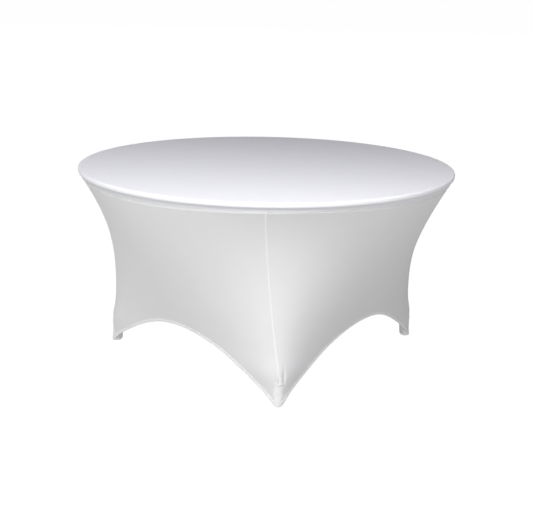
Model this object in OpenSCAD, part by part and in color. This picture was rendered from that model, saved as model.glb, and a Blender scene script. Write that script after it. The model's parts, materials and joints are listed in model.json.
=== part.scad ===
// Stretch-fit cover over a round folding banquet table.
// Millimetres, +Z up, origin on the floor under the centre of the top.
// Leg frame A stands on the +X side and leg frame B on the -X side.
// Each folds inwards about an axis along Y.

/* [Table] */
// Diameter of the table top over its edge band
top_d = 1500; // [1490:10:1520]
// Height of the wooden top's upper face above the floor
top_h = 770; // [770:5:785]
// Thickness of the wooden top
top_t = 19; // [18:0.5:20]
// Distance of each foot's centre from the middle of the table
foot_r = 630; // [610:5:640]
// Outside diameter of the leg tubes
tube_d = 25.4; // [22:0.2:26]
// Wall of the steel tubes
tube_wall = 1.5; // [1.2:0.1:2]
// Outward lean of the leg frames, in degrees
lean = 4.2; // [3:0.1:5]

/* [Stays] */
// Distance along the legs from the hinge to the crossbar
crossbar_drop = 250; // [230:5:270]
// Distance from the hinge to the catch, measured inwards under the top
catch_reach = 350; // [330:5:360]
// Distance of each stay from the table's middle line
stay_y = 40; // [30:1:60]

/* [Cover] */
// Thickness of the knitted cloth, modelled a little thick
cloth_t = 1; // [0.8:0.1:1.2]
// Height of the seam that joins the top panel to the skirt
seam_z = 746; // [743:1:747]
// Radius of that seam
seam_r = 743.5; // [742:0.5:745]
// Height of the arches over the two ends, beside the leg frames, at their middle
end_arch_h = 218; // [185:1:245]
// Height of the arches over the two sides
side_arch_h = 203; // [185:1:245]
// Height of the foot pockets
pocket_h = 92; // [75:1:105]
// Width of the folded hem
hem_w = 10; // [8:1:14]

/* [Skirt shape] */
// Radius of the skirt above a foot, before it flares to the rim
leg_base_r = 598; // [590:1:605]
// How much further out the skirt stands at the floor
leg_flare = 55; // [50:1:62]
// Sharpness of that widening towards the floor
flare_power = 1.8; // [1.2:0.1:2.4]
// Sharpness of the flare from a leg up to the rim
leg_power = 3.32; // [3:0.02:4]
// How far the skirt swells out just above each foot
foot_swell = 7; // [3:0.5:9]
// Radius of the skirt between two legs, before it flares to the rim
mid_base_r = 503; // [480:1:530]
// How much closer to the middle it would be at the floor
mid_tuck = 47; // [30:1:60]
// Sharpness of the flare between two legs
mid_power = 1.45; // [1.3:0.01:2.2]
// Sharpness of the arches where they come down to a foot
arch_power = 0.92; // [0.8:0.01:1.1]

/* [Hidden] */

fine = 96;
ring_fine = 180;

// Table top and its rounded edge
edge_r = top_t / 2;
edge_mid_z = top_h - edge_r;
board_r = top_d / 2 - edge_r - 1;
under_z = top_h - top_t;

// Leg frames. Frame B hangs lower, so that it folds flat under frame A.
foot_xy = foot_r / sqrt(2);
foot_end_z = 14;
hinge_a_z = top_h - 49;
hinge_b_z = hinge_a_z - 32;
leg_top_y = 400;
pivot_d = tube_d + 3.2;
pin_d = 12.7;
pivot_half = leg_top_y + 14;
pin_gap = 0.05;
plate_t = 3;
plate_y = pivot_half + 4;
plate_w = 34;
flange_w = 32;
crossbar_d = 19;
collar_d = 27;
collar_w = 4;
screw_d = 5;
screw_head_d = 10;
screw_head_h = 2.4;
screw_len = 12;

// Stays and catches
sleeve_w = 30;
sleeve_d = 28;
stay_d = 12;
tip_pin_d = 8;
tip_pin_w = 38;
tip_z = top_h - 30;
catch_w = 30;
catch_drop = 19;
cheek_y = 13;
slot_w = 10;
slot_dip = 24;

// Foot caps and pockets
cap_r = 16.5;
cap_round = 11.5;
cap_h = 32;
pocket_r = 18.8;
pocket_round = 12;
pocket_back_h = 46;
pocket_gap = 0.3;

// Cover
rest_gap = 0.3;
wrap_in_r = edge_r + rest_gap;
wrap_out_r = wrap_in_r + cloth_t;
seam_cord_r = 1.5;
skirt_top_z = seam_z - seam_cord_r - 0.1;
seam_tape_w = 6;
tape_t = 2;
skirt_t = cloth_t;
notch_w = pocket_r + 1.5;
rows = 14;
round_top = 6.5;
round_mid = 12;
round_foot = 1.6;
swell_z = 118;
swell_w = 51;

function hinge_x(z) = foot_xy - (z - foot_end_z) * tan(lean);
function leg_len(z) = (z - foot_end_z) / cos(lean);
function splay(z) = atan((foot_xy - leg_top_y) / leg_len(z));
function crossbar_xz(z) = [hinge_x(z) + crossbar_drop * sin(lean), z - crossbar_drop * cos(lean)];
function tip_xz(z) = [hinge_x(z) - catch_reach, tip_z];

// ---- Table ----

module tabletop()
    color("burlywood")
    translate([0, 0, under_z]) cylinder(r = board_r, h = top_t, $fn = ring_fine);

module edge_band()
    color("dimgray")
    rotate_extrude($fn = ring_fine)
    difference() {
        union() {
            translate([top_d / 2 - edge_r, edge_mid_z]) circle(r = edge_r, $fn = fine);
            translate([board_r, under_z]) square([1, top_t]);
        }
        translate([0, under_z - 1]) square([board_r, top_t + 2]);
    }

// Plate with the pivot bore, and a flange screwed up into the top
module hinge_bracket(z, side_x, side_y)
    color("silver")
    mirror([side_x < 0 ? 1 : 0, 0, 0])
    mirror([0, side_y < 0 ? 1 : 0, 0])
    difference() {
        translate([hinge_x(z), plate_y, 0]) {
            translate([-plate_w / 2, 0, z]) cube([plate_w, plate_t, under_z - z]);
            translate([0, plate_t, z]) rotate([90, 0, 0]) cylinder(d = plate_w, h = plate_t, $fn = fine);
            translate([-plate_w / 2, 0, under_z - plate_t]) cube([plate_w, flange_w, plate_t]);
        }
        translate([hinge_x(z), plate_y - 1, z])
        rotate([-90, 0, 0]) cylinder(d = pin_d + 2 * pin_gap, h = plate_t + 2, $fn = fine);
        bracket_screw_places(z) translate([0, 0, under_z - plate_t - 1])
        cylinder(d = screw_d, h = plate_t + 1, $fn = 32);
    }

module bracket_screw_places(z)
    for (dx = [-1, 1])
    translate([hinge_x(z) + dx * plate_w / 4, plate_y + 2 * flange_w / 3, 0]) children();

module screw(flange_z)
    translate([0, 0, flange_z]) {
        translate([0, 0, -screw_head_h])
        cylinder(d1 = screw_head_d - 3, d2 = screw_head_d, h = screw_head_h, $fn = 32);
        cylinder(d = screw_d, h = plate_t, $fn = 32);
    }

module bracket_screws()
    color("gainsboro")
    for (side_x = [1, -1], side_y = [1, -1])
    mirror([side_x < 0 ? 1 : 0, 0, 0]) mirror([0, side_y < 0 ? 1 : 0, 0])
    bracket_screw_places(side_x > 0 ? hinge_a_z : hinge_b_z) screw(under_z - plate_t);

// Moves a leg frame's parts from upright about the origin to their place under the top
module in_frame(z, side_x)
    translate([side_x * hinge_x(z), 0, z]) rotate([0, -side_x * lean, 0]) children();

module pivot_tube(z, side_x)
    color("slategray")
    in_frame(z, side_x) rotate([90, 0, 0]) {
        cylinder(d = pivot_d, h = 2 * pivot_half, center = true, $fn = fine);
        cylinder(d = pin_d, h = 2 * (plate_y + plate_t + 6), center = true, $fn = fine);
    }

// A leg's own cylinder, from the hinge axis down to inside its foot cap, or a little past both
module leg_rod(z, side_y, d, extra = 0)
    translate([0, side_y * leg_top_y, 0]) rotate([side_y * splay(z), 0, 0])
    translate([0, 0, -leg_len(z) / cos(splay(z)) - extra])
    cylinder(d = d, h = leg_len(z) / cos(splay(z)) + 2 * extra, $fn = fine);

module leg(z, side_x, side_y)
    color("slategray")
    in_frame(z, side_x)
    difference() {
        leg_rod(z, side_y, tube_d);
        leg_rod(z, side_y, tube_d - 2 * tube_wall, 2);
        rotate([90, 0, 0]) cylinder(d = pivot_d, h = 2 * pivot_half, center = true, $fn = fine);
    }

module crossbar(z, side_x)
    color("slategray")
    in_frame(z, side_x)
    difference() {
        translate([0, 0, -crossbar_drop]) rotate([90, 0, 0]) {
            cylinder(d = crossbar_d, h = 2 * foot_xy, center = true, $fn = fine);
            for (side = [-1, 1])
            translate([0, 0, -side_x * stay_y + side * (sleeve_w / 2 + 0.4 + collar_w / 2)])
            cylinder(d = collar_d, h = collar_w, center = true, $fn = fine);
        }
        for (side_y = [-1, 1]) {
            leg_rod(z, side_y, tube_d);
            translate([-50, side_y > 0 ? leg_outer_y(z) : -leg_outer_y(z) - 60, -crossbar_drop - 30])
            cube([100, 60, 60]);
        }
    }

function leg_outer_y(z) = leg_top_y + crossbar_drop * tan(splay(z));

module foot_cap(z, side_x, side_y)
    color("black")
    difference() {
        translate([side_x * foot_xy, side_y * foot_xy, cloth_t + pocket_gap])
        rounded_foot(cap_r, cap_h, cap_round);
        in_frame(z, side_x) leg_rod(z, side_y, tube_d);
    }

// Upright cylinder with a rounded lower edge
module rounded_foot(r, h, round_r)
    rotate_extrude($fn = fine) {
        translate([0, round_r]) square([r, h - round_r]);
        square([r - round_r, round_r + 1]);
        intersection() {
            translate([r - round_r, round_r]) circle(r = round_r, $fn = fine);
            square([r, h]);
        }
    }

// Rigid stay: a sleeve that turns on the crossbar, a rod, and a pin that sits in the catch
module stay(z, side_x)
    color("slategray")
    translate([0, side_x * stay_y, 0]) {
        from = crossbar_xz(z);
        to = tip_xz(z);
        reach = norm(to - from);
        rise = atan2(to[1] - from[1], from[0] - to[0]);
        difference() {
            translate([side_x * from[0], 0, from[1]]) {
                rotate([90, 0, 0]) cylinder(d = sleeve_d, h = sleeve_w, center = true, $fn = fine);
                rotate([0, -side_x * (90 - rise), 0]) cylinder(d = stay_d, h = reach, $fn = 48);
            }
            translate([side_x * from[0], 0, from[1]]) rotate([90, 0, 0])
            cylinder(d = crossbar_d + 2 * pin_gap, h = sleeve_w + 2, center = true, $fn = fine);
        }
        translate([side_x * to[0], 0, to[1]]) rotate([90, 0, 0])
        cylinder(d = tip_pin_d, h = tip_pin_w, center = true, $fn = 48);
    }

// Catch: a base under the top and two slotted cheeks, open inwards and down
module stay_catch(z, side_x)
    color("silver")
    mirror([side_x < 0 ? 1 : 0, 0, 0])
    difference() {
        translate([tip_xz(z)[0], stay_y, 0]) {
            translate([-catch_w / 2, -flange_w, under_z - plate_t]) cube([catch_w, 2 * flange_w, plate_t]);
            for (side = [-1, 1])
            translate([-catch_w / 2, side * (cheek_y + plate_t / 2) - plate_t / 2, under_z - catch_drop])
            cube([catch_w, plate_t, catch_drop]);
        }
        translate([tip_xz(z)[0], stay_y, tip_z]) {
            rotate([90, 0, 0]) cylinder(d = slot_w, h = 60, center = true, $fn = 48);
            rotate([0, -slot_dip, 0]) translate([-catch_w, -30, -slot_w / 2]) cube([catch_w, 60, slot_w]);
        }
        catch_screw_places(z) translate([0, 0, under_z - plate_t - 1])
        cylinder(d = screw_d, h = plate_t + 1, $fn = 32);
    }

module catch_screw_places(z)
    for (side = [-1, 1])
    translate([tip_xz(z)[0], stay_y + side * 24, 0]) children();

module catch_screws()
    color("gainsboro")
    for (side_x = [1, -1])
    mirror([side_x < 0 ? 1 : 0, 0, 0]) mirror([0, side_x < 0 ? 1 : 0, 0])
    catch_screw_places(side_x > 0 ? hinge_a_z : hinge_b_z) screw(under_z - plate_t);

// ---- Cover ----

// The wrap leaves the rounded edge along the tangent that reaches the seam
wrap_mid = [top_d / 2 - edge_r, edge_mid_z];
to_seam = [seam_r, seam_z] - wrap_mid;
wrap_end = atan2(to_seam[1], to_seam[0]) + acos(wrap_out_r / norm(to_seam));

function wrap_arc(r, from, to, steps) =
    [for (i = [0 : steps]) let (t = from + (to - from) * i / steps) wrap_mid + r * [cos(t), sin(t)]];

module cover_top()
    color("white")
    rotate_extrude($fn = ring_fine)
    polygon(concat(
        [[0, top_h + rest_gap + cloth_t]],
        wrap_arc(wrap_out_r, 90, wrap_end, 14),
        [[seam_r + 1.2, seam_z + seam_cord_r + 0.1], [seam_r + 1.2 - cloth_t, seam_z + seam_cord_r + 0.1]],
        wrap_arc(wrap_in_r, wrap_end, 90, 14),
        [[0, top_h + rest_gap]]
    ));

module cover_rim_seam()
    color("whitesmoke")
    rotate_extrude($fn = ring_fine) translate([seam_r, seam_z]) circle(r = seam_cord_r, $fn = 24);

// Skirt surface. a is the angle from the nearest leg, 0 to 45 degrees, and z the height.
function down(z) = (seam_z - z) / seam_z;
function swell(z) = foot_swell * exp(-pow((z - swell_z) / swell_w, 2));
function leg_profile(s) =
    leg_base_r + leg_flare * pow(max(0, s), flare_power)
    + (seam_r - leg_base_r) * pow(max(0, 1 - s), leg_power);
function mid_profile(s) = mid_base_r - mid_tuck * s + (seam_r - mid_base_r) * pow(max(0, 1 - s), mid_power);
function rounding(s) = round_top * (1 - s) + round_mid * s * (1 - s) + round_foot;
function eased(a, s) = let (d = rounding(s)) 45 * (sqrt(a * a + d * d) - d) / (sqrt(45 * 45 + d * d) - d);
function skirt_r(a, z) =
    let (s = down(z), rl = leg_profile(s) + swell(z), rm = mid_profile(s), b = 45 - eased(a, s))
    // An arc through the two legs and the middle between them, a straight line where bend is 0
    let (drop = rl * rl - rm * rm, bend = 2 * rm - sqrt(2) * rl, reach = rm * (bend * rm + 2 * drop))
    reach / (drop * cos(b) + sqrt(pow(drop * cos(b), 2) + bend * reach));
function arch_z(a, turn) =
    (turn % 180 == 0 ? side_arch_h : end_arch_h) * pow(1 - pow(1 - a / 45, 2), arch_power);
function near_leg(az) = abs(az - 90 * round(az / 90));
function skirt_point(az, z, inward = 0) =
    let (r = skirt_r(near_leg(az), z) - inward) [r * cos(az + 45), r * sin(az + 45), z];

// Closed sheet between two grids of points, the outer first, each a list of rows
function flat_list(grid) = [for (row = grid) for (p = row) p];
function grid_faces(m, n, base, flip) =
    [for (j = [0 : m - 2], i = [0 : n - 2])
        let (a = base + j * n + i, b = a + 1, c = a + n + 1, d = a + n)
        each flip ? [[a, b, c], [a, c, d]] : [[a, c, b], [a, d, c]]];
function rim_faces(m, n) =
    let (inner = m * n,
         loop = concat([for (i = [0 : n - 1]) i], [for (j = [1 : m - 1]) j * n + n - 1],
                       [for (i = [n - 2 : -1 : 0]) (m - 1) * n + i], [for (j = [m - 2 : -1 : 1]) j * n]),
         count = len(loop))
    [for (k = [0 : count - 1])
        let (a = loop[k], b = loop[(k + 1) % count])
        each [[a, b, b + inner], [a, b + inner, a + inner]]];

module sheet(outer, inner) {
    m = len(outer);
    n = len(outer[0]);
    polyhedron(
        points = concat(flat_list(outer), flat_list(inner)),
        faces = concat(grid_faces(m, n, 0, false), grid_faces(m, n, m * n, true), rim_faces(m, n)),
        convexity = 6
    );
}

// Angles across a panel, closer together by the legs, with a step beside each foot pocket
first_a = (seam_tape_w / 2 + 0.2) / leg_base_r * 180 / PI;
notch_a = notch_w / foot_r * 180 / PI;
half_angles = concat(
    [first_a, notch_a - 0.05, notch_a + 0.05],
    [for (i = [1 : 9]) notch_a + (45 - notch_a) * pow(i / 9, 1.3)]);
panel_angles = concat(half_angles, [for (i = [len(half_angles) - 2 : -1 : 0]) 90 - half_angles[i]]);
hem_angles = [for (a = panel_angles) if (near_leg(a) > notch_a) a];

function panel_end_z(a, turn) =
    near_leg(a) < notch_a ? pocket_h + 1 : arch_z(near_leg(a), turn) + hem_w + 0.1;

module skirt_panel(turn)
    color("white")
    sheet(
        [for (j = [0 : rows]) [for (a = panel_angles)
            skirt_point(turn + a, skirt_top_z + (panel_end_z(a, turn) - skirt_top_z) * j / rows)]],
        [for (j = [0 : rows]) [for (a = panel_angles)
            skirt_point(turn + a, skirt_top_z + (panel_end_z(a, turn) - skirt_top_z) * j / rows, skirt_t)]]
    );

module leg_seam(turn)
    color("whitesmoke")
    sheet(
        [for (j = [0 : rows]) let (z = skirt_top_z + (pocket_h + 1 - skirt_top_z) * j / rows)
            [for (side = [-1, 1]) skirt_point(turn + side * seam_tape_w / 2 / skirt_r(0, z) * 180 / PI, z)]],
        [for (j = [0 : rows]) let (z = skirt_top_z + (pocket_h + 1 - skirt_top_z) * j / rows)
            [for (side = [-1, 1])
                skirt_point(turn + side * seam_tape_w / 2 / skirt_r(0, z) * 180 / PI, z, tape_t)]]
    );

module hem(turn)
    color("whitesmoke")
    sheet(
        [for (up = [hem_w, 0]) [for (a = hem_angles) skirt_point(turn + a, arch_z(near_leg(a), turn) + up)]],
        [for (up = [hem_w, 0]) [for (a = hem_angles)
            skirt_point(turn + a, arch_z(near_leg(a), turn) + up, tape_t)]]
    );

// Cup round a foot, higher in front than behind
module foot_pocket(side_x, side_y)
    color("white")
    translate([side_x * foot_xy, side_y * foot_xy, 0]) rotate([0, 0, atan2(side_y, side_x)])
    difference() {
        rounded_foot(pocket_r, pocket_h, pocket_round);
        translate([0, 0, cloth_t]) rounded_foot(pocket_r - cloth_t, pocket_h, pocket_round - cloth_t);
        translate([-pocket_r, 0, pocket_back_h])
        rotate([0, -atan((pocket_h - pocket_back_h) / (2 * pocket_r)), 0])
        translate([-20, -50, 0]) cube([100, 100, 100]);
    }

tabletop();
edge_band();
hinge_bracket(hinge_a_z, 1, 1);  // hinge_bracket_a_left
hinge_bracket(hinge_a_z, 1, -1);  // hinge_bracket_a_right
hinge_bracket(hinge_b_z, -1, 1);  // hinge_bracket_b_left
hinge_bracket(hinge_b_z, -1, -1);  // hinge_bracket_b_right
stay_catch(hinge_a_z, 1);  // stay_catch_a
mirror([0, 1, 0]) stay_catch(hinge_b_z, -1);  // stay_catch_b
bracket_screws();
catch_screws();
pivot_tube(hinge_a_z, 1);  // pivot_tube_a
leg(hinge_a_z, 1, 1);  // leg_a_left
leg(hinge_a_z, 1, -1);  // leg_a_right
crossbar(hinge_a_z, 1);  // crossbar_a
foot_cap(hinge_a_z, 1, 1);  // foot_cap_a_left
foot_cap(hinge_a_z, 1, -1);  // foot_cap_a_right
pivot_tube(hinge_b_z, -1);  // pivot_tube_b
leg(hinge_b_z, -1, 1);  // leg_b_left
leg(hinge_b_z, -1, -1);  // leg_b_right
crossbar(hinge_b_z, -1);  // crossbar_b
foot_cap(hinge_b_z, -1, 1);  // foot_cap_b_left
foot_cap(hinge_b_z, -1, -1);  // foot_cap_b_right
stay(hinge_a_z, 1);  // stay_a
stay(hinge_b_z, -1);  // stay_b
cover_top();
cover_rim_seam();
skirt_panel(-90);  // skirt_panel_a
skirt_panel(0);  // skirt_panel_left
skirt_panel(90);  // skirt_panel_b
skirt_panel(180);  // skirt_panel_right
leg_seam(0);  // leg_seam_a_left
leg_seam(90);  // leg_seam_b_left
leg_seam(180);  // leg_seam_b_right
leg_seam(-90);  // leg_seam_a_right
hem(-90);  // hem_a
hem(0);  // hem_left
hem(90);  // hem_b
hem(180);  // hem_right
foot_pocket(1, 1);  // foot_pocket_a_left
foot_pocket(-1, 1);  // foot_pocket_b_left
foot_pocket(-1, -1);  // foot_pocket_b_right
foot_pocket(1, -1);  // foot_pocket_a_right
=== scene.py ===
"""A white stretch-fit cover on a round folding banquet table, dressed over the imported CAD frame.

All lengths are metres, in the frame of the CAD model: +Z up, origin on the floor under the middle of the top.
Leg frame A stands on the +X side and B on the -X side, with their feet on the diagonals.
"""

import json
import math

import bmesh
import bpy
import numpy as np
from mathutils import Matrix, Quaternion, Vector


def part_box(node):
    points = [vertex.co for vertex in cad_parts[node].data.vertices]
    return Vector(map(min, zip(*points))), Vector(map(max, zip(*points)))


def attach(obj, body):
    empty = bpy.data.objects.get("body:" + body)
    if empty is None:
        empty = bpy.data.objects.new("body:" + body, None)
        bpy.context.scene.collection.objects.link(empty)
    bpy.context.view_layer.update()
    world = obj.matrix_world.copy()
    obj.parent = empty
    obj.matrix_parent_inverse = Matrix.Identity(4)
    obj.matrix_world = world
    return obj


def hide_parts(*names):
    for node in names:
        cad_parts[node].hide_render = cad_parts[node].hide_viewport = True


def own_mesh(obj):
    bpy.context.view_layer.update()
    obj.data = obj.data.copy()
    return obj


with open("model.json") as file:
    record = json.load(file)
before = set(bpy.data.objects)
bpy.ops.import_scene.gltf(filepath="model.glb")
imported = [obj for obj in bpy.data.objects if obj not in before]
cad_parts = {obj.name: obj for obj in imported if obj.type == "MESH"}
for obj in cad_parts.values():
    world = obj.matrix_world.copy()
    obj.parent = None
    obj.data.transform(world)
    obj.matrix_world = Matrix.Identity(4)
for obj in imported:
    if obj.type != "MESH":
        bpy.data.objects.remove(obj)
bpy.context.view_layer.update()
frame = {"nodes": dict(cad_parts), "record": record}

# ---------------------------------------------------------------- camera

CAMERA_AZIMUTH = math.radians(39.78)
CAMERA_ELEVATION = math.radians(17.916)
CAMERA_ROLL = math.radians(1.129)
CAMERA_DISTANCE = 3.2443
CAMERA_TARGET = Vector((0, 0, 0.305))
FOCAL_LENGTH_MM = 51.22
SHIFT_X = 0.0037
SHIFT_Y = 0.0088


def add_camera():
    data = bpy.data.cameras.new("camera")
    data.lens = FOCAL_LENGTH_MM
    data.sensor_width = 36
    data.shift_x = SHIFT_X
    data.shift_y = SHIFT_Y
    data.dof.use_dof = False
    camera = bpy.data.objects.new("camera", data)
    bpy.context.scene.collection.objects.link(camera)
    back = Vector((
        math.sin(CAMERA_AZIMUTH) * math.cos(CAMERA_ELEVATION),
        -math.cos(CAMERA_AZIMUTH) * math.cos(CAMERA_ELEVATION),
        math.sin(CAMERA_ELEVATION),
    ))
    camera.location = CAMERA_TARGET + back * CAMERA_DISTANCE
    aim = (-back).to_track_quat("-Z", "Y")
    camera.rotation_mode = "QUATERNION"
    camera.rotation_quaternion = aim @ Quaternion((0, 0, 1), CAMERA_ROLL)
    bpy.context.scene.camera = camera


add_camera()
bpy.context.scene.view_settings.view_transform = "Standard"

# ---------------------------------------------------------------- sizes from the CAD frame


def middle(node):
    low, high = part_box(node)
    return (low + high) / 2


def half_size(node):
    low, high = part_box(node)
    return (high - low) / 2


TOP_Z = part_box("cover_top")[1].z
RIM_R = half_size("cover_top").x
EDGE_MID_Z = middle("edge_band").z
SEAM_Z = middle("cover_rim_seam").z
SEAM_R = 0.7435
FOOT_XY = middle("foot_cap_a_left").x
FOOT_R = FOOT_XY * math.sqrt(2)
WRAP_R = TOP_Z - EDGE_MID_Z
WRAP_MID_R = RIM_R - WRAP_R

# ---------------------------------------------------------------- the skirt's shape
# s is 0 at the rim seam and 1 at the floor. The angle a is measured from the nearest leg, 0 to 45 degrees.

QUARTER = math.pi / 4
LEG_BASE_R = 0.598
LEG_FLARE = 0.055
FLARE_POWER = 1.8
LEG_POWER = 3.32
FOOT_SWELL = 0.007
SWELL_Z = 0.118
SWELL_W = 0.051
MID_BASE_R = 0.503
MID_TUCK = 0.047
MID_POWER = 1.45
SIDE_ARCH_H = 0.203
END_ARCH_H = 0.222
ARCH_POWER = 0.92
ROUND_TOP = math.radians(6.5)
ROUND_MID = math.radians(12)
ROUND_FOOT = math.radians(1.6)

# the rim seam, the arch's ends, the folds beside the leg seams and the cover's turn
SEAM_DROP = 0.005
SEAM_DIP = 0.010
HEM_END_Z = 0.004
TIP_DROP = 0.015
TIP_HALF_W = 0.032
CREASE_SIDE = 0.018
CREASE_Z = 0.116
CREASE_HALF_W = 0.0045
CREASE_HALF_H = 0.026
CREASE_DEPTH = 0.006
TWIST = math.radians(-5.2)
TWIST_FROM_Z = 0.125
TWIST_POWER = 1.6


def smooth_step(t):
    """Runs from 0 to 1 with t, level at both ends."""
    t = np.clip(t, 0, 1)
    return t * t * (3 - 2 * t)


def near_leg(azimuth):
    """Angle from the nearest leg, for an azimuth counted from a leg."""
    return np.abs((azimuth + QUARTER) % (2 * QUARTER) - QUARTER)


def skirt_radius(azimuth, z):
    """Distance of the skirt from the table's axis: far out at the legs, drawn in between them."""
    a = near_leg(azimuth)
    s = (SEAM_Z - z) / SEAM_Z
    rise = np.clip(1 - s, 0, None)
    flare = LEG_FLARE * np.clip(s, 0, None) ** FLARE_POWER
    swell = FOOT_SWELL * np.exp(-((z - SWELL_Z) / SWELL_W) ** 2)
    at_leg = LEG_BASE_R + flare + (SEAM_R - LEG_BASE_R) * rise ** LEG_POWER + swell
    middle_r = MID_BASE_R - MID_TUCK * s + (SEAM_R - MID_BASE_R) * rise ** MID_POWER
    # eased is a, but starts level over about d, which rounds the skirt off at each leg.
    d = ROUND_TOP * rise + ROUND_MID * rise * s + ROUND_FOOT
    eased = QUARTER * (np.sqrt(a * a + d * d) - d) / (np.sqrt(QUARTER ** 2 + d * d) - d)
    b = QUARTER - eased
    # A circle's arc through both legs and the panel's middle, with b counted from the middle.
    drop = at_leg ** 2 - middle_r ** 2
    bend = 2 * middle_r - math.sqrt(2) * at_leg
    reach = middle_r * (bend * middle_r + 2 * drop)
    return reach / (drop * np.cos(b) + np.sqrt((drop * np.cos(b)) ** 2 + bend * reach))


def arch_z(azimuth):
    """Height of the skirt's lower edge, a little more over the ends of the table than over its sides."""
    over_end = np.floor(azimuth / (2 * QUARTER)) % 2
    height = SIDE_ARCH_H + (END_ARCH_H - SIDE_ARCH_H) * over_end
    a = near_leg(azimuth)
    z = height * np.clip(1 - (1 - a / QUARTER) ** 2, 0, 1) ** ARCH_POWER
    z = z - TIP_DROP * np.exp(-(a * FOOT_R / TIP_HALF_W) ** 2)
    return (z + np.sqrt(z ** 2 + 4 * HEM_END_Z ** 2)) / 2


def seam_line_z(azimuth):
    """Height of the rim seam, which is pulled down a little between the legs."""
    return SEAM_Z - SEAM_DROP - SEAM_DIP * np.sin(2 * near_leg(azimuth)) ** 2


def twist(z, low=TWIST_FROM_Z):
    """How far the cloth is turned round the table at a height, as if pulled on a little askew."""
    t = np.clip((z - low) / (SEAM_Z - low), 0, 1)
    return TWIST * (1 - (1 - t) ** TWIST_POWER)


def crease(azimuth, z):
    """Depth of the short upright fold beside each leg seam, just above the foot pocket."""
    signed = (azimuth + QUARTER) % (2 * QUARTER) - QUARTER
    aside = (signed * FOOT_R - CREASE_SIDE) / CREASE_HALF_W
    above = (z - CREASE_Z) / CREASE_HALF_H
    return CREASE_DEPTH * np.exp(-aside ** 2 - above ** 2)


def on_skirt(azimuth, z, out=0.0):
    """Points of the skirt, out metres outside its surface. Azimuth 0 is leg A left, which is at 45 degrees."""
    r = skirt_radius(azimuth, z) - crease(azimuth, z) + out
    turned = azimuth + QUARTER
    return np.stack([r * np.cos(turned), r * np.sin(turned), z + 0 * r], axis=-1)


# ---------------------------------------------------------------- mesh helpers

UV = "cloth"


def add_object(name, points, faces, uvs):
    """A smooth-shaded mesh, with one UV point for each point of it."""
    mesh = bpy.data.meshes.new(name)
    mesh.from_pydata([tuple(p) for p in points], [], faces)
    layer = mesh.uv_layers.new(name=UV)
    flat = np.array([uvs[i] for face in faces for i in face], np.float32)
    layer.data.foreach_set("uv", flat.ravel())
    mesh.polygons.foreach_set("use_smooth", [True] * len(mesh.polygons))
    mesh.update()
    obj = bpy.data.objects.new(name, mesh)
    bpy.context.scene.collection.objects.link(obj)
    return obj


def shell(name, outer, inner, uv, closed=False):
    """Thin solid sheet between two grids of points, each of shape (rows, columns, 3).

    closed joins the last column to the first.
    """
    m, n = outer.shape[:2]
    columns = n if closed else n - 1
    size = m * n
    faces = []
    for j in range(m - 1):
        for i in range(columns):
            a, b = j * n + i, j * n + (i + 1) % n
            c, d = b + n, a + n
            faces.append((a, d, c, b))
            faces.append((a + size, b + size, c + size, d + size))
    for i in range(columns):
        k = (i + 1) % n
        last = (m - 1) * n
        faces.append((i, k, k + size, i + size))
        faces.append((last + k, last + i, last + i + size, last + k + size))
    if not closed:
        for j in range(m - 1):
            a, d = j * n, (j + 1) * n
            faces.append((d, a, a + size, d + size))
            a, d = a + n - 1, d + n - 1
            faces.append((a, d, d + size, a + size))
    points = np.concatenate([outer.reshape(-1, 3), inner.reshape(-1, 3)])
    uvs = np.concatenate([uv.reshape(-1, 2)] * 2)
    return add_object(name, points, faces, uvs)


def run_along(points):
    """Length along a line of points, from its start to each of them."""
    return np.concatenate([[0], np.cumsum(np.linalg.norm(np.diff(points, axis=0), axis=1))])


def tube_faces(rings, sides, base=0):
    """Faces of a solid tube whose points come ring by ring, from point number base on."""
    faces = []
    for j in range(rings - 1):
        here, ahead = base + j * sides, base + (j + 1) * sides
        for i in range(sides):
            k = (i + 1) % sides
            faces.append((here + i, ahead + i, ahead + k, here + k))
    faces.append(tuple(base + i for i in range(sides)))
    faces.append(tuple(base + (rings - 1) * sides + i for i in reversed(range(sides))))
    return faces


def dress(piece, material, replaces=()):
    """Gives a piece of the cover its material, puts it under the cover's body and hides the CAD nodes it
    stands for.
    """
    piece.data.materials.append(material)
    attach(piece, "cover")
    if replaces:
        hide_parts(*replaces)
    return piece


# ---------------------------------------------------------------- materials


class Nodes:
    """A node tree under construction, with the Principled shader made."""

    def __init__(self, name):
        self.material = bpy.data.materials.new(name)
        self.material.use_nodes = True
        self.tree = self.material.node_tree
        self.shader = self.tree.nodes["Principled BSDF"]

    def add(self, kind, **values):
        """A new node. Each value sets the node's own setting of that name, or else its input."""
        node = self.tree.nodes.new(kind)
        for key, value in values.items():
            if hasattr(node, key):
                setattr(node, key, value)
            else:
                node.inputs[key.replace("_", " ")].default_value = value
        return node

    def join(self, output, socket):
        self.tree.links.new(output, socket)

    def set_shader(self, **values):
        for key, value in values.items():
            self.shader.inputs[key.replace("_", " ")].default_value = value

    def object_space(self):
        return self.add("ShaderNodeTexCoord").outputs["Object"]

    def noise(self, vector, **values):
        node = self.add("ShaderNodeTexNoise", **values)
        self.join(vector, node.inputs["Vector"])
        return node.outputs["Fac"]

    def vary_color(self, share, dark, light):
        """Base colour between two colours, by a share from 0 to 1."""
        shade = self.add("ShaderNodeMix", data_type="RGBA")
        shade.inputs["A"].default_value = (*dark, 1)
        shade.inputs["B"].default_value = (*light, 1)
        self.join(share, shade.inputs["Factor"])
        self.join(shade.outputs["Result"], self.shader.inputs["Base Color"])

    def relief(self, height, strength, distance):
        node = self.add("ShaderNodeBump", Strength=strength, Distance=distance)
        self.join(height, node.inputs["Height"])
        self.join(node.outputs["Normal"], self.shader.inputs["Normal"])


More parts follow.
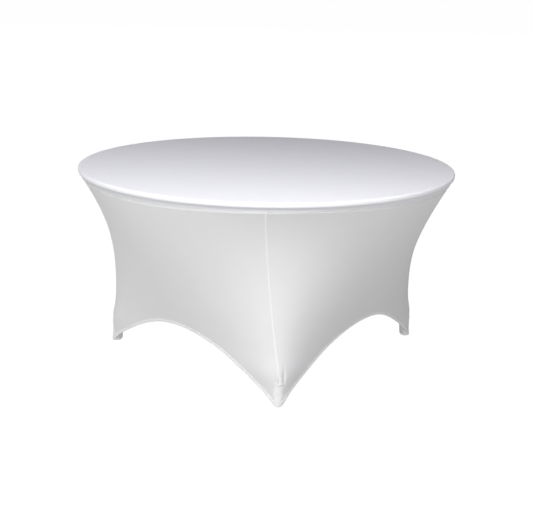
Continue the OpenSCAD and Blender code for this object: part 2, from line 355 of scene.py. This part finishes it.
def cloth_material(name, color, bump=0.25, mottle=0.04):
    """Knitted cloth: fine wales and courses in relief, and a faint cloudiness in its colour."""
    n = Nodes(name)
    n.set_shader(Roughness=0.82, Specular_IOR_Level=0.3, Sheen_Weight=0.15, Sheen_Roughness=0.5)
    uv = n.add("ShaderNodeUVMap", uv_map=UV)
    cloudy = n.noise(n.object_space(), Scale=9.0, Detail=3.0, Roughness=0.55)
    wales = n.add("ShaderNodeTexWave", wave_type="BANDS", bands_direction="X", Scale=260.0, Distortion=0.6)
    n.join(uv.outputs["UV"], wales.inputs["Vector"])
    courses = n.add("ShaderNodeTexWave", wave_type="BANDS", bands_direction="Y", Scale=200.0, Distortion=0.8)
    n.join(uv.outputs["UV"], courses.inputs["Vector"])
    knit = n.add("ShaderNodeMix", data_type="FLOAT", blend_type="MIX")
    n.join(wales.outputs["Fac"], knit.inputs["A"])
    n.join(courses.outputs["Fac"], knit.inputs["B"])
    knit.inputs["Factor"].default_value = 0.4
    n.vary_color(cloudy, tuple(c * (1 - mottle) for c in color), color)
    n.relief(knit.outputs["Result"], bump, 0.0004)
    return n.material


CLOTH = cloth_material("stretch_knit", (0.83, 0.83, 0.835))
# The top cloth is the same knit as the skirt; its faint blue tint is a painted reflection of the sky overhead.
TOP_CLOTH_PAINTED_SKY_REFLECTION = cloth_material("stretch_knit_top_painted_sky_reflection", (0.820, 0.822, 0.850))
DOUBLED = cloth_material("doubled_knit", (0.93, 0.93, 0.93), mottle=0.02)
BINDING = cloth_material("folded_knit", (0.92, 0.92, 0.92), mottle=0.02)
THREAD = cloth_material("thread", (0.9, 0.9, 0.9), bump=0.1, mottle=0.02)

# ---------------------------------------------------------------- top cloth

CLOTH_T = 0.0009
AROUND = 288
TOP_ROWS = 26
WRAP_ROWS = 24
EDGE_SQUARENESS = 0.58
BAND_ROWS = 6
BAND_SAG = 0.0015


def seam_point(azimuth):
    """Radius and height of the rim seam."""
    z = seam_line_z(azimuth)
    return skirt_radius(azimuth, z), z


def top_profile(azimuth, thickness):
    """Radius and height down one line of the top cloth, from the middle over the edge to the rim seam."""
    wrap = WRAP_R - thickness
    seam_r, seam_z = seam_point(azimuth)
    reach = math.hypot(seam_r - WRAP_MID_R, seam_z - EDGE_MID_Z)
    leave = math.atan2(seam_z - EDGE_MID_Z, seam_r - WRAP_MID_R) + math.acos(WRAP_R / reach)
    rows = [(WRAP_MID_R * (j / TOP_ROWS), EDGE_MID_Z + wrap) for j in range(TOP_ROWS)]
    for j in range(WRAP_ROWS + 1):
        t = math.pi / 2 + (leave - math.pi / 2) * j / WRAP_ROWS
        power = EDGE_SQUARENESS if t > 0 else 1
        rise = math.copysign(abs(math.sin(t)) ** power, t)
        rows.append((WRAP_MID_R + wrap * max(0, math.cos(t)) ** power, EDGE_MID_Z + wrap * rise))
    start_r, start_z = rows[-1]
    for j in range(1, BAND_ROWS + 1):
        share = j / BAND_ROWS
        rows.append((
            start_r + (seam_r - thickness - start_r) * share - BAND_SAG * math.sin(math.pi * share),
            start_z + (seam_z - start_z) * share,
        ))
    return rows


def make_top():
    """The round top cloth, stretched over the edge of the table and down to the rim seam."""
    azimuths = 2 * math.pi * np.arange(AROUND) / AROUND
    grids = []
    for thickness in (0.0, CLOTH_T):
        lines = np.array([top_profile(az, thickness) for az in azimuths])
        turned = azimuths + QUARTER
        grids.append(np.stack([
            (lines[:, :, 0] * np.cos(turned)[:, None]).T,
            (lines[:, :, 0] * np.sin(turned)[:, None]).T,
            lines[:, :, 1].T,
        ], axis=-1))
    outer, inner = grids
    piece = shell("top_cloth", outer, inner, outer[..., :2], closed=True)
    clean_centre(piece)
    # The top cloth takes the knit whose blue tint is a painted reflection of the sky.
    dress(piece, TOP_CLOTH_PAINTED_SKY_REFLECTION, replaces=["cover_top"])


def clean_centre(piece):
    """Merges the points at the middle of the disc and drops the faces that this closes up."""
    bm = bmesh.new()
    bm.from_mesh(piece.data)
    at_centre = [v for v in bm.verts if math.hypot(v.co.x, v.co.y) < 1e-6]
    bmesh.ops.remove_doubles(bm, verts=at_centre, dist=1e-7)
    bm.to_mesh(piece.data)
    bm.free()
    piece.data.update()


make_top()

# ---------------------------------------------------------------- skirt

PANEL_COLUMNS = 241
PANEL_ROWS = 96
CLOSER_BY_LEGS = 1.6
CLOSER_BY_HEM = 1.25
UV_ROUND = 0.62
UNDER_SEAM = 0.8
SEAM_HALF = 0.0030
SEAM_PROUD = 0.0014
SEAM_SUNK = 0.0006
SEAM_BACK = 0.0022
SEAM_BASE = 0.8
SEAM_ROUNDNESS = 0.8
SEAM_ARC_POINTS = 11
SEAM_POINTS = 180
TAB_TOP_Z = 0.116
TAB_STEP_H = 0.010
TAB_ASIDE = 0.005
TAB_WIDER = 1.2
TAB_TUCK = 0.004
LEGS = {"a_left": 0, "b_left": 1, "b_right": 2, "a_right": 3}
FIRST_LEG = {"a": "a_right", "left": "a_left", "b": "b_left", "right": "b_right"}
QUARTER_TURN = math.pi / 2


def leg_turn(leg):
    return LEGS[leg] * QUARTER_TURN


def panel_azimuths():
    """Angles across one panel from its first leg, closer together by the legs."""
    u = np.linspace(-1, 1, PANEL_COLUMNS)
    eased = np.sign(u) * (1 - (1 - np.abs(u)) ** CLOSER_BY_LEGS)
    first = UNDER_SEAM * SEAM_HALF / SEAM_R
    return QUARTER + eased * (QUARTER - first)


def make_panel(side):
    """One skirt panel, from the rim seam down to its arch, between the middles of two leg seams."""
    turn = leg_turn(FIRST_LEG[side])
    across = panel_azimuths() + turn
    high = seam_line_z(across + TWIST)
    low = arch_z(across)
    down = 1 - (1 - np.linspace(0, 1, PANEL_ROWS)[:, None]) ** CLOSER_BY_HEM
    z = high - (high - low) * down
    azimuth = across + twist(z, np.maximum(low, TWIST_FROM_Z))
    uv = np.stack([(across - turn) * UV_ROUND + 0 * z, z], axis=-1)
    piece = shell(f"skirt_{side}", on_skirt(azimuth, z), on_skirt(azimuth, z, -CLOTH_T), uv)
    return dress(piece, CLOTH, replaces=[f"skirt_panel_{side}"])


def unit(vectors):
    return vectors / np.linalg.norm(vectors, axis=-1, keepdims=True)


def skirt_line(azimuth, z):
    """Points of a line on the skirt, with the skirt's outward normal and the way across the line."""
    step = 1e-4
    points = on_skirt(azimuth, z)
    around = on_skirt(azimuth + step, z) - on_skirt(azimuth - step, z)
    up = on_skirt(azimuth, z + step) - on_skirt(azimuth, z - step)
    normal = unit(np.cross(around, up))
    along = unit(np.gradient(points, axis=0))
    return points, normal, unit(np.cross(normal, along))


def sweep(name, points, normal, across, profile, widen):
    """Solid with one section along a line.

    The profile is a loop of (across, out) in metres, and widen scales it at each point of the line.
    """
    profile = np.array(profile)
    section = profile[None] * widen[:, None, None]
    rings = points[:, None] + across[:, None] * section[..., :1] + normal[:, None] * section[..., 1:]
    uv = [(run, x + y) for run in run_along(points) for x, y in profile]
    return add_object(name, rings.reshape(-1, 3), tube_faces(len(points), len(profile)), uv)


def tab_share(z):
    """0 along the leg seam and 1 in the tab at its lower end."""
    return smooth_step((TAB_TOP_Z - z) / TAB_STEP_H)


def leg_seam_azimuth(leg, z):
    """The leg seam's place round the skirt, with the small step aside of the tab at its lower end."""
    return leg_turn(leg) + twist(z) + TAB_ASIDE / FOOT_R * tab_share(z)


def make_leg_seam(leg):
    """A narrow bound seam down the leg, that ends in a small doubled tab above the foot pocket."""
    top_z = seam_line_z(leg_turn(leg) + TWIST) - SEAM_SUNK
    z = np.linspace(top_z, POCKET_FRONT_Z - TAB_TUCK, SEAM_POINTS)
    section = [(SEAM_HALF * math.cos(t), SEAM_PROUD * max(0, math.sin(t)) ** SEAM_ROUNDNESS - SEAM_SUNK)
               for t in np.linspace(0, math.pi, SEAM_ARC_POINTS)]
    section += [(-SEAM_HALF * SEAM_BASE, -SEAM_BACK), (SEAM_HALF * SEAM_BASE, -SEAM_BACK)]
    line, normal, across = skirt_line(leg_seam_azimuth(leg, z), z)
    piece = sweep(f"leg_seam_{leg}", line, normal, across, section, 1 + TAB_WIDER * tab_share(z))
    return dress(piece, BINDING, replaces=[f"leg_seam_{leg}"])


HEM_W = 0.0115
HEM_SECTION = [
    (HEM_W, 0.0001), (HEM_W - 0.0004, 0.0007), (HEM_W * 0.72, 0.0009), (HEM_W * 0.64, 0.0006),
    (HEM_W * 0.55, 0.0009), (0.0016, 0.0010), (0.0003, 0.0007), (-0.0003, 0.0001), (-0.0004, -0.0008),
    (0.0004, -0.0016), (HEM_W * 0.5, -0.0019), (HEM_W - 0.0004, -0.0017), (HEM_W, -0.0011),
]
HEM_STITCH_AT = HEM_W * 0.64
HEM_RIPPLE = 0.00025
HEM_RIPPLE_L = 0.011
HEM_RIPPLE_FADE_L = 0.083


def hem_line(side, inset=0.0):
    """The panel's lower edge, as a line on the skirt that stops inset radians short of each leg."""
    turn = leg_turn(FIRST_LEG[side])
    across_panel = panel_azimuths()
    inside = (across_panel > inset) & (across_panel < 2 * QUARTER - inset)
    azimuth = across_panel[inside] + turn
    return skirt_line(azimuth, arch_z(azimuth))


def make_hem(side):
    """The folded edge along a panel's arch, very slightly rippled by its stitching."""
    points, normal, up = hem_line(side)
    waves = 2 * math.pi * run_along(points)
    ripple = HEM_RIPPLE * np.sin(waves / HEM_RIPPLE_L) * np.sin(waves / HEM_RIPPLE_FADE_L)
    points = points + normal * ripple[:, None]
    piece = sweep(f"hem_{side}", points, normal, up, HEM_SECTION, np.ones(len(points)))
    return dress(piece, BINDING, replaces=[f"hem_{side}"])


# ---------------------------------------------------------------- foot pockets

POCKET_FRONT_Z = 0.086
POCKET_SHOULDER_Z = 0.097
POCKET_BACK_Z = 0.051
POCKET_R = 0.0192
POCKET_LEAST_R = 0.0182
POCKET_WAIST_R = 0.0145
POCKET_SIDE_EXTRA = 0.0055
POCKET_FRONT_EXTRA = 0.006
FILLET_H = 0.014
FILLET_FRONT = 0.004
FILLET_BACK = 0.012
FILLET_SIDE_EXTRA = 0.002
POCKET_T = 0.0012
POCKET_PROUD = 0.0014
LIP_SWELL = 0.0024
LIP_H = 0.003
LEG_SLOPE = 0.098
LEG_END_Z = 0.014
SHOULDER = math.radians(62)
FRONT_HALF = math.radians(25)
FRONT_FADE = math.radians(35)
WIDEN_H = 0.03
WAIST_FROM_Z = 0.036
WAIST_FADE_H = 0.035
WIDEN_AT_SOLE = 0.2
POCKET_TOP_POWER = 0.9
SEARCH_R = (0.005, 0.08)
SEARCH_STEPS = 26
EASE = 0.001
POCKET_FOLD = 0.0004
POCKET_FOLD_L = 0.034
POCKET_FOLD_FADE_H = 0.02
POCKET_UV_ROUND = 0.025
POCKET_UV_ROW = 0.0022
POCKET_COLUMNS = 96
SOLE_ROWS = 4
FILLET_ROWS = 10
SIDE_ROWS = 34


def pocket_top(theta):
    """Height of the pocket's open edge: a shallow V in front, lower behind."""
    t = np.abs(theta)
    climb = np.clip(t / SHOULDER, 0, 1) ** POCKET_TOP_POWER
    front = POCKET_FRONT_Z + (POCKET_SHOULDER_Z - POCKET_FRONT_Z) * climb
    return front + (POCKET_BACK_Z - POCKET_SHOULDER_Z) * smooth_step((t - SHOULDER) / (math.pi - SHOULDER))


def leg_axis_r(z):
    """Distance of the leg's axis from the table's. The leg stands upright in its foot and leans above it."""
    return FOOT_R - LEG_SLOPE * np.clip(z - LEG_END_Z, 0, None)


def ease(gap):
    """What to take off the lesser of two radii, or add to the greater, so that one eases into the other."""
    return EASE * np.log1p(np.exp(-np.abs(gap) / EASE))


def pocket_radius(theta, z):
    """Distance from the leg's axis: on the skirt in front where that is nearer, round the foot elsewhere."""
    axis_r = leg_axis_r(z)
    low, high = (np.full_like(z, limit) for limit in SEARCH_R)
    for _ in range(SEARCH_STEPS):
        rho = (low + high) / 2
        x, y = axis_r + rho * np.cos(theta), rho * np.sin(theta)
        outside = np.hypot(x, y) > skirt_radius(np.arctan2(y, x), z)
        high = np.where(outside, rho, high)
        low = np.where(outside, low, rho)
    reach = (low + high) / 2 + POCKET_PROUD
    facing = 1 - smooth_step((np.abs(theta) - FRONT_HALF) / FRONT_FADE)
    widening = WIDEN_AT_SOLE + (1 - WIDEN_AT_SOLE) * smooth_step((z - FILLET_H) / WIDEN_H)
    limit = POCKET_R + POCKET_SIDE_EXTRA * widening * np.sin(theta) ** 2 + POCKET_FRONT_EXTRA * facing
    above = smooth_step((z - WAIST_FROM_Z) / WAIST_FADE_H)
    least = POCKET_LEAST_R + (POCKET_WAIST_R - POCKET_LEAST_R) * above
    rho = np.minimum(reach, limit) - ease(reach - limit)
    return np.maximum(rho, least) + ease(rho - least)


def pocket_rows(thetas, inset):
    """Radius and height of each ring of the cup, from the middle of its sole up to its open edge."""
    base = pocket_radius(thetas, np.full_like(thetas, FILLET_H))
    forward = (1 + np.cos(thetas)) / 2
    depth = FILLET_BACK + (FILLET_FRONT - FILLET_BACK) * forward + FILLET_SIDE_EXTRA * np.sin(thetas) ** 2
    for j in range(SOLE_ROWS):
        yield (base - depth) * j / SOLE_ROWS, np.full_like(thetas, inset)
    for j in range(FILLET_ROWS):
        angle = math.pi / 2 * j / FILLET_ROWS
        rho = base - depth * (1 - math.sin(angle)) - inset * math.sin(angle)
        yield rho, np.full_like(thetas, FILLET_H * (1 - math.cos(angle)) + inset * math.cos(angle))
    top = pocket_top(thetas)
    for j in range(SIDE_ROWS):
        z = FILLET_H + (top - FILLET_H) * j / (SIDE_ROWS - 1)
        lip = LIP_SWELL * np.exp(-((top - z) / LIP_H) ** 2) if inset == 0 else 0
        yield pocket_radius(thetas, z) - inset + lip, z


def make_pocket(leg):
    """The doubled cup of cloth that holds the cover to one foot, with faint uneven folds."""
    turn = leg_turn(leg) + QUARTER
    thetas = np.linspace(-math.pi, math.pi, POCKET_COLUMNS, endpoint=False)
    phase = np.random.default_rng(7 + LEGS[leg]).uniform(0, 2 * math.pi, 2)
    grids = []
    for inset in (0.0, POCKET_T):
        rows = []
        for rho, z in pocket_rows(thetas, inset):
            fold = np.sin(3 * thetas + phase[0]) * np.sin(2 * math.pi * z / POCKET_FOLD_L + phase[1])
            rho = rho + POCKET_FOLD * fold * np.clip((z - FILLET_H) / POCKET_FOLD_FADE_H, 0, 1)
            axis_r = leg_axis_r(z)
            x, y = axis_r + rho * np.cos(thetas), rho * np.sin(thetas)
            rows.append(np.stack([
                x * math.cos(turn) - y * math.sin(turn), x * math.sin(turn) + y * math.cos(turn), z,
            ], axis=-1))
        grids.append(np.array(rows))
    outer, inner = grids
    rows_up = POCKET_UV_ROW * np.arange(len(outer))[:, None]
    uv = np.stack(np.broadcast_arrays(thetas * POCKET_UV_ROUND, rows_up), axis=-1)
    piece = shell(f"pocket_{leg}", outer, inner, uv, closed=True)
    close_bottom(piece)
    return dress(piece, DOUBLED, replaces=[f"foot_pocket_{leg}"])


def close_bottom(piece):
    """Welds the points that meet at the middle of the sole."""
    bm = bmesh.new()
    bm.from_mesh(piece.data)
    bmesh.ops.remove_doubles(bm, verts=bm.verts[:], dist=2e-5)
    bmesh.ops.recalc_face_normals(bm, faces=bm.faces[:])
    bm.to_mesh(piece.data)
    bm.free()
    piece.data.update()


# ---------------------------------------------------------------- stitches

STITCH_L = 0.0045
STITCH_GAP = 0.0009
STITCH_R = 0.00028
STITCH_RISE = 0.9
STITCH_DIP = 1.5
STITCH_SIDES = 6
STITCH_RINGS = [(-0.5, 0.15), (-0.38, 0.8), (0.0, 1.0), (0.38, 0.8), (0.5, 0.15)]


def along_line(run, values, at):
    """A line's point or normal at one length along it."""
    return np.array([np.interp(at, run, values[:, k]) for k in range(3)])


def stitch_points(start, along, normal):
    """One stitch: a slim lozenge of thread, whose ends dip into the cloth."""
    side = np.cross(along, normal)
    for step, swell in STITCH_RINGS:
        radius = STITCH_R * swell
        lift = STITCH_R * (STITCH_RISE - STITCH_DIP * (2 * step) ** 2)
        centre = start + along * STITCH_L * step + normal * lift
        for i in range(STITCH_SIDES):
            t = 2 * math.pi * i / STITCH_SIDES
            yield centre + normal * radius * math.sin(t) + side * radius * math.cos(t)


def stitches(name, lines):
    """Rows of stitches in one piece. Each line is (points, normals), and the thread lies on them."""
    pitch = STITCH_L + STITCH_GAP
    points, faces = [], []
    for line, normals in lines:
        run = run_along(line)
        for at in np.arange(pitch / 2, run[-1] - pitch / 2, pitch):
            start = along_line(run, line, at)
            along = unit(along_line(run, line, at + STITCH_L / 2) - start)
            faces += tube_faces(len(STITCH_RINGS), STITCH_SIDES, base=len(points))
            points += stitch_points(start, along, unit(along_line(run, normals, at)))
    piece = add_object(name, points, faces, [(p[0], p[2]) for p in points])
    return dress(piece, THREAD)


RIM_SEAM_R = 0.0010
RIM_SEAM_SUNK = 0.0004
RIM_SEAM_SIDES = 10
RIM_SEAM_UV = (0.016, 0.0008)


def make_rim_seam():
    """The thin ridge all round where the top cloth joins the skirt."""
    azimuth = np.linspace(0, 2 * math.pi, AROUND + 1)[:-1]
    line, normal, across = skirt_line(azimuth, seam_line_z(azimuth))
    line = line - normal * RIM_SEAM_SUNK
    t = np.linspace(0, 2 * math.pi, RIM_SEAM_SIDES, endpoint=False)[None, :, None]
    rings = line[:, None] + RIM_SEAM_R * (across[:, None] * np.cos(t) + normal[:, None] * np.sin(t))
    faces = []
    for j in range(AROUND):
        here, ahead = j * RIM_SEAM_SIDES, (j + 1) % AROUND * RIM_SEAM_SIDES
        for i in range(RIM_SEAM_SIDES):
            k = (i + 1) % RIM_SEAM_SIDES
            faces.append((here + i, here + k, ahead + k, ahead + i))
    uv = [(j * RIM_SEAM_UV[0], i * RIM_SEAM_UV[1]) for j in range(AROUND) for i in range(RIM_SEAM_SIDES)]
    piece = add_object("rim_seam", rings.reshape(-1, 3), faces, uv)
    dress(piece, CLOTH, replaces=["cover_rim_seam"])


panels = {side: make_panel(side) for side in FIRST_LEG}
hems = {side: make_hem(side) for side in FIRST_LEG}
leg_seams = {leg: make_leg_seam(leg) for leg in LEGS}
pockets = {leg: make_pocket(leg) for leg in LEGS}
make_rim_seam()

HEM_STITCH_INSET = 0.035
HEM_STITCH_OUT = 0.0006
SEAM_STITCH_ASIDE = SEAM_HALF + 0.0012
SEAM_STITCH_MARGIN = 0.006
SEAM_STITCH_POINTS = 150
RIM_STITCH_BELOW = 0.0042
RIM_STITCH_POINTS = 721


def hem_thread(side):
    """The row of stitches that holds a hem down."""
    line, normal, up = hem_line(side, HEM_STITCH_INSET)
    return line + up * HEM_STITCH_AT + normal * HEM_STITCH_OUT, normal


def seam_thread(leg, shift):
    """The row of stitches on one side of a leg seam. shift is -1 or 1."""
    z = np.linspace(SEAM_Z - SEAM_STITCH_MARGIN, TAB_TOP_Z + SEAM_STITCH_MARGIN, SEAM_STITCH_POINTS)
    aside = shift * SEAM_STITCH_ASIDE / skirt_radius(leg_turn(leg), z)
    line, normal, _ = skirt_line(leg_seam_azimuth(leg, z) + aside, z)
    return line, normal


def rim_thread():
    """The row of stitches below the rim seam."""
    azimuth = np.linspace(0, 2 * math.pi, RIM_STITCH_POINTS)
    line, normal, _ = skirt_line(azimuth, seam_line_z(azimuth) - RIM_STITCH_BELOW)
    return line, normal


threads = [
    stitches("hem_stitches", [hem_thread(side) for side in FIRST_LEG]),
    stitches("leg_seam_stitches", [seam_thread(leg, shift) for leg in LEGS for shift in (-1, 1)]),
    stitches("rim_stitches", [rim_thread()]),
]

# Each piece of the cover gets a mesh of its own. The cover doesn't follow the legs as they fold.
for piece in [*panels.values(), *hems.values(), *leg_seams.values(), *pockets.values(), *threads]:
    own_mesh(piece)

# ---------------------------------------------------------------- the table's finishes


def plywood_material():
    """Board with a long grain."""
    n = Nodes("plywood")
    n.set_shader(Roughness=0.6)
    stretch = n.add("ShaderNodeMapping", Scale=(1.5, 14, 14))
    n.join(n.object_space(), stretch.inputs["Vector"])
    grain = n.noise(stretch.outputs["Vector"], Scale=3.0, Detail=6.0, Roughness=0.6, Distortion=1.2)
    tone = n.add("ShaderNodeValToRGB")
    tone.color_ramp.elements[0].position = 0.35
    tone.color_ramp.elements[0].color = (0.27, 0.16, 0.08, 1)
    tone.color_ramp.elements[1].position = 0.7
    tone.color_ramp.elements[1].color = (0.52, 0.36, 0.20, 1)
    n.join(grain, tone.inputs["Fac"])
    n.join(tone.outputs["Color"], n.shader.inputs["Base Color"])
    n.relief(grain, 0.2, 0.0003)
    return n.material


ROUGHNESS_VARIES = 0.06


def speckled_material(name, color, other, scale, roughness, metallic=0.0, bump=0.15):
    """A hard finish that varies finely between two colours, with a matching grain in its relief."""
    n = Nodes(name)
    n.set_shader(Metallic=metallic)
    grain = n.noise(n.object_space(), Scale=scale, Detail=4.0, Roughness=0.6)
    n.vary_color(grain, color, other)
    low, high = roughness - ROUGHNESS_VARIES, roughness + ROUGHNESS_VARIES
    gloss = n.add("ShaderNodeMapRange", To_Min=low, To_Max=high)
    n.join(grain, gloss.inputs["Value"])
    n.join(gloss.outputs["Result"], n.shader.inputs["Roughness"])
    n.relief(grain, bump, 0.0002)
    return n.material


FINISHES = {
    "cloth": CLOTH,
    "pocket_cloth": DOUBLED,
    "seam_cloth": BINDING,
    "board": plywood_material(),
    "edge_plastic": speckled_material(
        "edge_vinyl", (0.060, 0.036, 0.024), (0.085, 0.052, 0.036), scale=400, roughness=0.45),
    "leg_paint": speckled_material(
        "powder_coat", (0.17, 0.17, 0.18), (0.22, 0.22, 0.23), scale=900, roughness=0.42, bump=0.3),
    "zinc": speckled_material(
        "zinc_plate", (0.62, 0.62, 0.60), (0.74, 0.74, 0.73), scale=120, roughness=0.34, metallic=1.0),
    "foot_plastic": speckled_material(
        "black_rubber", (0.020, 0.020, 0.021), (0.032, 0.032, 0.033), scale=500, roughness=0.62),
}

for row in frame["record"]["subparts"]:
    node = frame["nodes"][row["node"]]
    for slot in node.material_slots:
        slot.material = FINISHES[row["material_slot"]]

# ---------------------------------------------------------------- floor and light
# The floor and the surround look white to the eye, and give the cloth less light than that.

BACKDROP_WHITE = 0.99
FLOOR_GLOW = 0.6
FLOOR_HALF = 250
FLOOR_GAP = 0.0005
LOW_SKY = (0.12, 0.12, 0.12, 1)
HIGH_SKY = (0.24, 0.24, 0.28, 1)
KEY = {"turn": -25, "away": 2.6, "height": 2.6, "size": (1.6, 1.2), "power": 82}
FILL = {"turn": 25, "away": 1.7, "height": 1.7, "size": (1.4, 1.0), "power": 13}
LIGHT_AIM = Vector((0, 0, 0.55))


def seen_or_lighting(tree, seen, lighting):
    """A strength that is one value where it is looked at and another where it lights other things."""
    path = tree.nodes.new("ShaderNodeLightPath")
    pick = tree.nodes.new("ShaderNodeMix")
    pick.data_type = "FLOAT"
    tree.links.new(path.outputs["Is Camera Ray"], pick.inputs["Factor"])
    pick.inputs["A"].default_value = lighting
    pick.inputs["B"].default_value = seen
    return pick.outputs["Result"]


def add_floor():
    n = Nodes("pale_floor")
    n.set_shader(Base_Color=(0.05, 0.05, 0.05, 1), Roughness=1.0, Specular_IOR_Level=0.0,
                 Emission_Color=(1, 1, 1, 1))
    n.join(seen_or_lighting(n.tree, BACKDROP_WHITE, FLOOR_GLOW), n.shader.inputs["Emission Strength"])
    bpy.ops.mesh.primitive_plane_add(size=2 * FLOOR_HALF, location=(0, 0, -FLOOR_GAP))
    floor = bpy.context.object
    floor.name = "floor"
    floor.data.materials.append(n.material)


def add_softbox(name, turn, away, height, size, power):
    """A soft box that stands turn degrees to the camera's right, away metres from the table's middle."""
    data = bpy.data.lights.new(name, "AREA")
    data.shape = "RECTANGLE"
    data.size, data.size_y = size
    data.energy = power
    light = bpy.data.objects.new(name, data)
    angle = CAMERA_AZIMUTH + math.radians(turn)
    light.location = (away * math.sin(angle), -away * math.cos(angle), height)
    light.rotation_mode = "QUATERNION"
    light.rotation_quaternion = (LIGHT_AIM - light.location).to_track_quat("-Z", "Y")
    light.visible_camera = False
    bpy.context.scene.collection.objects.link(light)


def add_sky():
    """White surround, with a soft dome above that is faintly blue and brighter overhead."""
    world = bpy.data.worlds.new("studio")
    bpy.context.scene.world = world
    world.use_nodes = True
    tree = world.node_tree
    direction = tree.nodes.new("ShaderNodeTexCoord")
    split = tree.nodes.new("ShaderNodeSeparateXYZ")
    tree.links.new(direction.outputs["Generated"], split.inputs[0])
    ramp = tree.nodes.new("ShaderNodeValToRGB")
    ramp.color_ramp.elements[0].position = 0.10
    ramp.color_ramp.elements[0].color = (0, 0, 0, 1)
    ramp.color_ramp.elements[1].position = 0.75
    ramp.color_ramp.elements[1].color = HIGH_SKY
    for position in (0.25, 0.55):
        ramp.color_ramp.elements.new(position).color = LOW_SKY
    tree.links.new(split.outputs["Z"], ramp.inputs["Fac"])
    path = tree.nodes.new("ShaderNodeLightPath")
    pick = tree.nodes.new("ShaderNodeMix")
    pick.data_type = "RGBA"
    tree.links.new(path.outputs["Is Camera Ray"], pick.inputs["Factor"])
    tree.links.new(ramp.outputs["Color"], pick.inputs["A"])
    pick.inputs["B"].default_value = (BACKDROP_WHITE, BACKDROP_WHITE, BACKDROP_WHITE, 1)
    tree.links.new(pick.outputs["Result"], tree.nodes["Background"].inputs["Color"])


add_floor()
add_sky()
add_softbox("key", **KEY)
add_softbox("fill", **FILL)
